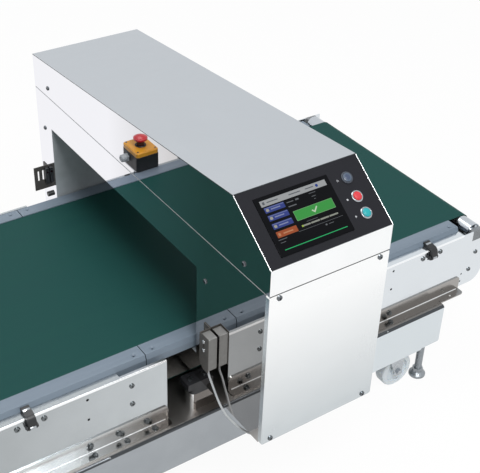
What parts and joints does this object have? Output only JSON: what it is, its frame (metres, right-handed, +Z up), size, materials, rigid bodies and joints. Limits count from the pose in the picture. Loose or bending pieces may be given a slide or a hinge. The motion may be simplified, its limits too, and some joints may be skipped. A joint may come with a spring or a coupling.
{
  "type": "conveyor metal detector",
  "caption": "Metal detector head with a passage round a through belt conveyor, on a wheeled base, with operator panel, emergency stop and product sensor.",
  "frame": {"origin": "on the floor, under the middle of the whole machine", "axes": "+X along the belt to the outfeed end, +Y across the belt away from the operator, +Z up"},
  "size_m": [1.51, 1.0366, 0.89],
  "materials": {
    "polished_stainless": "polished sheet",
    "satin_stainless": "satin sheet",
    "liner_plastic": "moulded",
    "copper_winding": "enamelled winding",
    "zinc_sheet": "zinc plated",
    "circuit_board": "solder resist",
    "panel_film": "fine textured film",
    "display_housing": "moulded",
    "display_glass": "clear over a lit display",
    "plated_collar": "bright plated",
    "button_blue_grey": "moulded",
    "button_red": "moulded",
    "button_cyan": "moulded",
    "dark_screw": "blackened",
    "gland_plastic": "moulded nylon",
    "dark_bracket": "anodised",
    "sensor_housing": "extruded and anodised",
    "cable_jacket": "extruded jacket",
    "reflector_plastic": "moulded",
    "frame_stainless": "bright sheet",
    "rail_plastic": "machined polyethylene",
    "bed_plastic": "machined polyethylene",
    "belt_green": "matt cover",
    "roller_steel": "turned and polished",
    "bearing_plastic": "moulded",
    "angle_steel": "mill finish",
    "bolt_steel": "plain",
    "insulating_block": "machined",
    "latch_black": "moulded",
    "stop_box_black": "moulded",
    "stop_lid_amber": "moulded",
    "stop_red": "moulded",
    "caster_zinc": "zinc plated",
    "wheel_nylon": "moulded nylon",
    "foot_steel": "zinc plated"
  },
  "bodies": {
    "frame": {"head_case": "polished_stainless", "hood": "satin_stainless", "front_cover": "polished_stainless", "rear_cover": "polished_stainless", "aperture_liner": "liner_plastic", "search_coils": "copper_winding", "control_chassis": "zinc_sheet", "control_board": "circuit_board", "power_supply": "zinc_sheet", "panel_fascia": "panel_film", "display_module": "display_housing", "display_glass": "display_glass", "button_collars": "plated_collar", "cover_screws": "dark_screw", "cable_glands": "gland_plastic", "sensor_brackets": "dark_bracket", "sensor_bar": "sensor_housing", "sensor_cable": "cable_jacket", "reflector": "reflector_plastic", "side_plates": "frame_stainless", "cross_ties": "frame_stainless", "side_rails": "rail_plastic", "end_beds": "frame_stainless", "tunnel_bed": "bed_plastic", "belt": "belt_green", "bearing_blocks": "bearing_plastic", "base_frame": "frame_stainless", "base_angles": "angle_steel", "frame_bolts": "bolt_steel", "insulating_bars": "insulating_block", "pedestals": "frame_stainless", "latch_bases": "latch_black", "stop_box": "stop_box_black", "stop_lid": "stop_lid_amber", "stop_bracket": "satin_stainless", "caster_plates": "caster_zinc"},
    "power_button_body": {"power_button": "button_blue_grey"},
    "stop_button_body": {"stop_button": "button_red"},
    "start_button_body": {"start_button": "button_cyan"},
    "stop_mushroom_body": {"stop_mushroom": "stop_red"},
    "drive_roller_body": {"drive_roller": "roller_steel"},
    "tail_roller_body": {"tail_roller": "roller_steel"},
    "infeed_snub_roller_body": {"infeed_snub_roller": "roller_steel"},
    "outfeed_snub_roller_body": {"outfeed_snub_roller": "roller_steel"},
    "latch_lever_1_body": {"latch_lever_1": "latch_black"},
    "caster_fork_1_body": {"caster_fork_1": "caster_zinc"},
    "caster_wheel_1_body": {"caster_wheel_1": "wheel_nylon"},
    "leveling_foot_1_body": {"leveling_foot_1": "foot_steel"},
    "latch_lever_2_body": {"latch_lever_2": "latch_black"},
    "caster_fork_2_body": {"caster_fork_2": "caster_zinc"},
    "caster_wheel_2_body": {"caster_wheel_2": "wheel_nylon"},
    "leveling_foot_2_body": {"leveling_foot_2": "foot_steel"},
    "latch_lever_3_body": {"latch_lever_3": "latch_black"},
    "caster_fork_3_body": {"caster_fork_3": "caster_zinc"},
    "caster_wheel_3_body": {"caster_wheel_3": "wheel_nylon"},
    "leveling_foot_3_body": {"leveling_foot_3": "foot_steel"},
    "latch_lever_4_body": {"latch_lever_4": "latch_black"},
    "caster_fork_4_body": {"caster_fork_4": "caster_zinc"},
    "caster_wheel_4_body": {"caster_wheel_4": "wheel_nylon"},
    "leveling_foot_4_body": {"leveling_foot_4": "foot_steel"}
  },
  "joints": [
    {"name": "power_button_press", "type": "slide", "parent": "frame", "child": "power_button_body", "axis": [0, 0.5893, -0.8079], "range_m": [0, 0.0025], "stiffness_N_per_m": 600},
    {"name": "stop_button_press", "type": "slide", "parent": "frame", "child": "stop_button_body", "axis": [0, 0.5893, -0.8079], "range_m": [0, 0.0025], "stiffness_N_per_m": 600},
    {"name": "start_button_press", "type": "slide", "parent": "frame", "child": "start_button_body", "axis": [0, 0.5893, -0.8079], "range_m": [0, 0.0025], "stiffness_N_per_m": 600},
    {"name": "stop_mushroom_press", "type": "slide", "parent": "frame", "child": "stop_mushroom_body", "axis": [0, 0, -1], "range_m": [0, 0.004], "stiffness_N_per_m": 2000},
    {"name": "drive_roller_spin", "type": "hinge", "parent": "frame", "child": "drive_roller_body", "pos_m": [0.718, 0.0945, 0.411], "axis": [0, 1, 0], "continuous": true},
    {"name": "tail_roller_spin", "type": "hinge", "parent": "frame", "child": "tail_roller_body", "pos_m": [-0.718, 0.0945, 0.411], "axis": [0, 1, 0], "continuous": true},
    {"name": "infeed_snub_roller_spin", "type": "hinge", "parent": "frame", "child": "infeed_snub_roller_body", "pos_m": [-0.262, 0.0945, 0.322], "axis": [0, 1, 0], "continuous": true},
    {"name": "outfeed_snub_roller_spin", "type": "hinge", "parent": "frame", "child": "outfeed_snub_roller_body", "pos_m": [0.262, 0.0945, 0.322], "axis": [0, 1, 0], "continuous": true},
    {"name": "caster_1_swivel", "type": "hinge", "parent": "frame", "child": "caster_fork_1_body", "pos_m": [-0.454, -0.257, 0.11], "axis": [0, 0, 1], "continuous": true},
    {"name": "caster_1_roll", "type": "hinge", "parent": "caster_fork_1_body", "child": "caster_wheel_1_body", "pos_m": [-0.489, -0.257, 0.05], "axis": [0, 1, 0], "continuous": true},
    {"name": "caster_2_swivel", "type": "hinge", "parent": "frame", "child": "caster_fork_2_body", "pos_m": [0.454, -0.257, 0.11], "axis": [0, 0, 1], "continuous": true},
    {"name": "caster_2_roll", "type": "hinge", "parent": "caster_fork_2_body", "child": "caster_wheel_2_body", "pos_m": [0.489, -0.257, 0.05], "axis": [0, 1, 0], "continuous": true},
    {"name": "caster_3_swivel", "type": "hinge", "parent": "frame", "child": "caster_fork_3_body", "pos_m": [-0.454, 0.446, 0.11], "axis": [0, 0, 1], "continuous": true},
    {"name": "caster_3_roll", "type": "hinge", "parent": "caster_fork_3_body", "child": "caster_wheel_3_body", "pos_m": [-0.489, 0.446, 0.05], "axis": [0, 1, 0], "continuous": true},
    {"name": "caster_4_swivel", "type": "hinge", "parent": "frame", "child": "caster_fork_4_body", "pos_m": [0.454, 0.446, 0.11], "axis": [0, 0, 1], "continuous": true},
    {"name": "caster_4_roll", "type": "hinge", "parent": "caster_fork_4_body", "child": "caster_wheel_4_body", "pos_m": [0.489, 0.446, 0.05], "axis": [0, 1, 0], "continuous": true},
    {"name": "leveling_foot_1_screw", "type": "slide", "parent": "frame", "child": "leveling_foot_1_body", "axis": [0, 0, 1], "range_m": [-0.012, 0.03]},
    {"name": "leveling_foot_2_screw", "type": "slide", "parent": "frame", "child": "leveling_foot_2_body", "axis": [0, 0, 1], "range_m": [-0.012, 0.03]},
    {"name": "leveling_foot_3_screw", "type": "slide", "parent": "frame", "child": "leveling_foot_3_body", "axis": [0, 0, 1], "range_m": [-0.012, 0.03]},
    {"name": "leveling_foot_4_screw", "type": "slide", "parent": "frame", "child": "leveling_foot_4_body", "axis": [0, 0, 1], "range_m": [-0.012, 0.03]},
    {"name": "latch_1_open", "type": "hinge", "parent": "frame", "child": "latch_lever_1_body", "pos_m": [-0.555, -0.2765, 0.407], "axis": [1, 0, 0], "range_deg": [0, 110]},
    {"name": "latch_2_open", "type": "hinge", "parent": "frame", "child": "latch_lever_2_body", "pos_m": [0.555, -0.2765, 0.407], "axis": [1, 0, 0], "range_deg": [0, 110]},
    {"name": "latch_3_open", "type": "hinge", "parent": "frame", "child": "latch_lever_3_body", "pos_m": [-0.555, 0.4655, 0.407], "axis": [-1, 0, 0], "range_deg": [0, 110]},
    {"name": "latch_4_open", "type": "hinge", "parent": "frame", "child": "latch_lever_4_body", "pos_m": [0.555, 0.4655, 0.407], "axis": [-1, 0, 0], "range_deg": [0, 110]}
  ],
  "couplings": [
    {"joint": "tail_roller_spin", "follows": "drive_roller_spin", "ratio": 1},
    {"joint": "infeed_snub_roller_spin", "follows": "drive_roller_spin", "ratio": 1.25},
    {"joint": "outfeed_snub_roller_spin", "follows": "drive_roller_spin", "ratio": 1.25}
  ]
}
